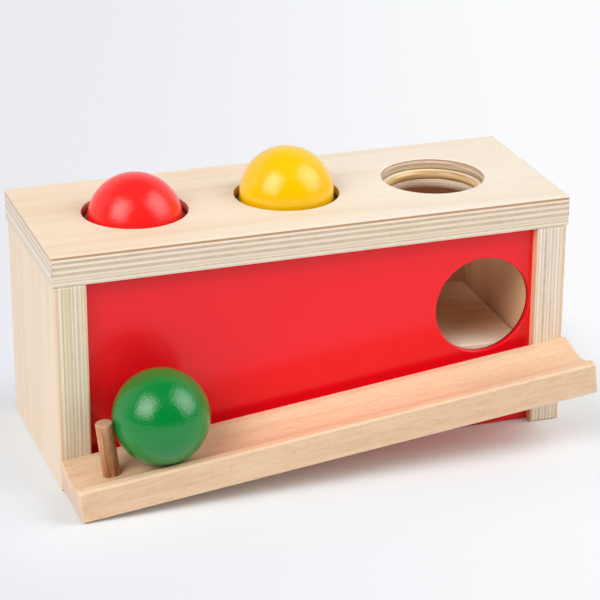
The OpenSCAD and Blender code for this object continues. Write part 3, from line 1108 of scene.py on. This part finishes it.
# %% Inner floor board
floor_round = 0.3 * MM
seam = 0.6 * MM
end_zone = 2 * MM
flat_area = 100 * MM ** 2
bm = bmesh.new()
bm.from_mesh(nodes["inner_floor"].data)
bmesh.ops.remove_doubles(bm, verts=bm.verts, dist=weld)
bmesh.ops.dissolve_limit(bm, angle_limit=math.radians(0.5), verts=bm.verts[:], edges=bm.edges[:])
floor_end = max(vert.co.x for vert in bm.verts)
for vert in bm.verts:
    if floor_end - vert.co.x < end_zone:
        vert.co.x -= seam
round_over(bm, bm.edges[:], floor_round, 3, 0.0)
shade(bm, lambda face: face.calc_area() > flat_area)
hand_over(bm, "inner_floor_board", "inner_floor", [floor_veneer])

# %% [markdown]
# ## The track
# A beech bar with a round groove along it. Its cross section is drawn once, from a single point that spin
# carries round three arcs: the first lip, the groove and the second lip. Four corners close it. The
# section is extruded along the bar, every sharp edge is rounded over, and the bar is then tilted to its
# slope.

# %% Track measures
level_turn = Matrix.Rotation(track_slope, 3, "Y")
slope_turn = Matrix.Rotation(-track_slope, 3, "Y")


def level_box(node):
    """A node's lowest and highest corners after the track's slope is taken out."""
    corners = [level_turn @ vert.co for vert in nodes[node].data.vertices]
    low = Vector([min(corner[i] for corner in corners) for i in range(3)])
    high = Vector([max(corner[i] for corner in corners) for i in range(3)])
    return low, high


track_low, track_high = level_box("ball_track")
groove_radius = 24 * MM
groove_depth = 3.75 * MM
lip_radius = 3 * MM
groove_y = (track_low.y + track_high.y) / 2
groove_rise = groove_radius - groove_depth + lip_radius
lip_reach = math.sqrt((groove_radius + lip_radius) ** 2 - groove_rise ** 2)
lip_angle = math.atan2(lip_reach, groove_rise)
print("track", [round(side / MM, 1) for side in track_high - track_low], "mm")


# %% Track section
def only_points(parts):
    """The vertices among the parts that an operator has made."""
    return [part for part in parts if isinstance(part, bmesh.types.BMVert)]


def arc_from(bm, vert, y, z, angle, steps):
    """Carries a point round an arc in the track's cross section, and gives the arc's last point."""
    made = spin_round(bm, [vert], (track_low.x, y, z), (1, 0, 0), steps, angle)
    return only_points(made["geom_last"])[0]


lip_steps = 6
groove_steps = 24
top_z = track_high.z
bm = bmesh.new()
first = bm.verts.new((track_low.x, groove_y - lip_reach, top_z))
last = arc_from(bm, first, groove_y - lip_reach, top_z - lip_radius, -lip_angle, lip_steps)
last = arc_from(bm, last, groove_y, top_z - groove_depth + groove_radius, 2 * lip_angle, groove_steps)
last = arc_from(bm, last, groove_y + lip_reach, top_z - lip_radius, -lip_angle, lip_steps)
corners = [
    (track_high.y, top_z), (track_high.y, track_low.z),
    (track_low.y, track_low.z), (track_low.y, top_z),
]
chain = [last] + [bm.verts.new((track_low.x, y, z)) for y, z in corners] + [first]
for pair in zip(chain, chain[1:]):
    bm.edges.new(pair)
section = bmesh.ops.contextual_create(bm, geom=bm.edges[:])["faces"]
print("track section has", len(section[0].verts), "points")

# %% Track
track_edge = 1.1 * MM
end_room = 0.05 * MM
pulled = bmesh.ops.extrude_face_region(bm, geom=section)["geom"]
length = Vector((track_high.x - track_low.x - end_room, 0, 0))
bmesh.ops.translate(bm, vec=length, verts=only_points(pulled))
bmesh.ops.recalc_face_normals(bm, faces=bm.faces)
sharp = [edge for edge in bm.edges if edge.calc_face_angle(0) > math.radians(45)]
round_over(bm, sharp, track_edge, 4)
shade(bm)
bmesh.ops.rotate(bm, cent=(0, 0, 0), matrix=slope_turn, verts=bm.verts)
hand_over(bm, "beech_track", "ball_track", [track_beech])

# %% [markdown]
# ## The peg
# A short dowel glued into the track. Half of its outline is spun into a solid, and its top rim is rounded
# over with sandpaper. It stands square to the track, so it gets the same tilt.

# %% Peg
peg_round = 0.7 * MM
peg_steps = 56
peg_low, peg_high = level_box("stop_peg")
peg_radius = (peg_high.y - peg_low.y) / 2
peg_foot = Vector(((peg_low.x + peg_high.x) / 2, (peg_low.y + peg_high.y) / 2, 0))
peg_outline = [(0, peg_low.z), (peg_radius, peg_low.z), (peg_radius, peg_high.z), (0, peg_high.z)]
bm = bmesh.new()
turn_outline(bm, peg_foot, up, peg_outline, peg_steps)
bmesh.ops.remove_doubles(bm, verts=bm.verts, dist=weld)
round_over(bm, ring_of_edges(bm, peg_foot, up, peg_radius, peg_high.z), peg_round, 4)
shade(bm)
bmesh.ops.rotate(bm, cent=(0, 0, 0), matrix=slope_turn, verts=bm.verts)
hand_over(bm, "oiled_peg", "stop_peg", [peg_finish])

# %% [markdown]
# ## Floor
# The box stands on a pale sheet that runs on without an edge. Near the box it is an ordinary matt surface
# that keeps the shadow; further out it goes over to its own plain colour, so that the background stays
# even. That colour is a little brighter on the right, as in the picture.

# %% Floor sheet
floor_reach = 6.0
floor_drop = 0.05 * MM
floor_mesh = bpy.data.meshes.new("studio_floor")
bm = bmesh.new()
bmesh.ops.create_grid(
    bm, x_segments=1, y_segments=1, size=floor_reach, matrix=Matrix.Translation((0, 0, -floor_drop))
)
bm.to_mesh(floor_mesh)
bm.free()
studio_floor = bpy.data.objects.new("studio_floor", floor_mesh)
scene.collection.objects.link(studio_floor)
print("floor reaches", floor_reach, "m each way")

# %% Floor paper
paper, tree, shader = new_finish("studio_paper")
shader.inputs["Base Color"].default_value = linear((236, 240, 243))
shader.inputs["Roughness"].default_value = 0.55
shader.inputs["Specular IOR Level"].default_value = 0.3
footprint = (*(cad_high - cad_low).xy / 2, 1.0)
shadow_start = -0.01
shadow_end = 0.07
spot_place = add(tree, "ShaderNodeTexCoord").outputs["Object"]
away = vector_sum(tree, "SUBTRACT", vector_sum(tree, "ABSOLUTE", spot_place), footprint)
away = vector_sum(tree, "LENGTH", vector_sum(tree, "MAXIMUM", away, (0, 0, 0)))
far = ease(tree, away, shadow_start, shadow_end)
bright_way = (math.cos(camera_yaw), -math.sin(camera_yaw), 0)
half_view = 0.22
sideways = ease(tree, vector_sum(tree, "DOT_PRODUCT", spot_place, bright_way), -half_view, half_view)
glow = add(tree, "ShaderNodeEmission", {"Color": tint(tree, sideways, (235, 236, 242), (251, 252, 253))})
seen = add(tree, "ShaderNodeLightPath").outputs
shown = sum_of(tree, "MAXIMUM", seen["Is Camera Ray"], seen["Is Glossy Ray"])
shown = sum_of(tree, "MAXIMUM", shown, seen["Is Transmission Ray"])
share = sum_of(tree, "MULTIPLY", far, shown)
mixed = add(tree, "ShaderNodeMixShader", {0: share, 1: shader.outputs[0], 2: glow.outputs[0]})
tree.links.new(mixed.outputs[0], tree.nodes["Material Output"].inputs["Surface"])
floor_mesh.materials.append(paper)
print("shadow fades out over", shadow_end, "m")

# %% [markdown]
# ## Light
# Two soft boxes stand to the left and to the right in front of the box, about forty degrees up, as the two
# reflections on each ball show. Their cloth is taken to be brightest in the middle, which a narrower
# spread gives. The room behind the camera is taken to be dim and the backdrop pale, so the world is
# brighter towards the back.

# %% Soft boxes
target = Vector((0, 0, 70 * MM))
beam = math.radians(40)
lamp_distance = 1.3


def soft_box(name, direction, width, height, radiance):
    """An area lamp that faces the toy, given by how bright its cloth looks in the middle."""
    lamp = bpy.data.lights.new(name, "AREA")
    lamp.shape = "RECTANGLE"
    lamp.size = width
    lamp.size_y = height
    lamp.spread = 2 * beam
    lamp.energy = radiance * math.pi * width * height * (1 - beam / math.tan(beam))
    holder = bpy.data.objects.new(name, lamp)
    scene.collection.objects.link(holder)
    way = Vector(direction).normalized()
    holder.location = target + way * lamp_distance
    holder.rotation_mode = "QUATERNION"
    holder.rotation_quaternion = way.to_track_quat("Z", "Y")
    print(name, "gives", round(lamp.energy, 2), "W")


soft_box("soft_box_left", (-0.695, -0.364, 0.62), width=0.96, height=1.15, radiance=6.5)
soft_box("soft_box_right", (0.715, -0.345, 0.605), width=1.2, height=1.4, radiance=5.05)

# %% World
dim_room = 0.05
backdrop_light = 0.8
ceiling_light = 0.1
world = bpy.data.worlds.new("studio")
world.use_nodes = True
scene.world = world
tree = world.node_tree
room = tree.nodes["Background"]
way = parts_of(tree, add(tree, "ShaderNodeTexCoord").outputs["Generated"])
behind = ease(tree, way[1], -0.1, 0.5)
overhead = ease(tree, way[2], 0.5, 0.9)
backdrop = sum_of(tree, "MULTIPLY", behind, sum_of(tree, "SUBTRACT", 1.0, overhead))
room_light = sum_of(tree, "MULTIPLY_ADD", backdrop, backdrop_light, dim_room)
room_light = sum_of(tree, "MULTIPLY_ADD", overhead, ceiling_light, room_light)
seen = add(tree, "ShaderNodeLightPath").outputs
shown = sum_of(tree, "MAXIMUM", seen["Is Camera Ray"], seen["Is Transmission Ray"])
strength = add(tree, "ShaderNodeMix", {0: shown, 2: room_light, 3: 1.0}, data_type="FLOAT").outputs[0]
room.inputs["Color"].default_value = linear((246, 247, 249))
tree.links.new(strength, room.inputs["Strength"])
print("world lit from", dim_room, "to", dim_room + backdrop_light)
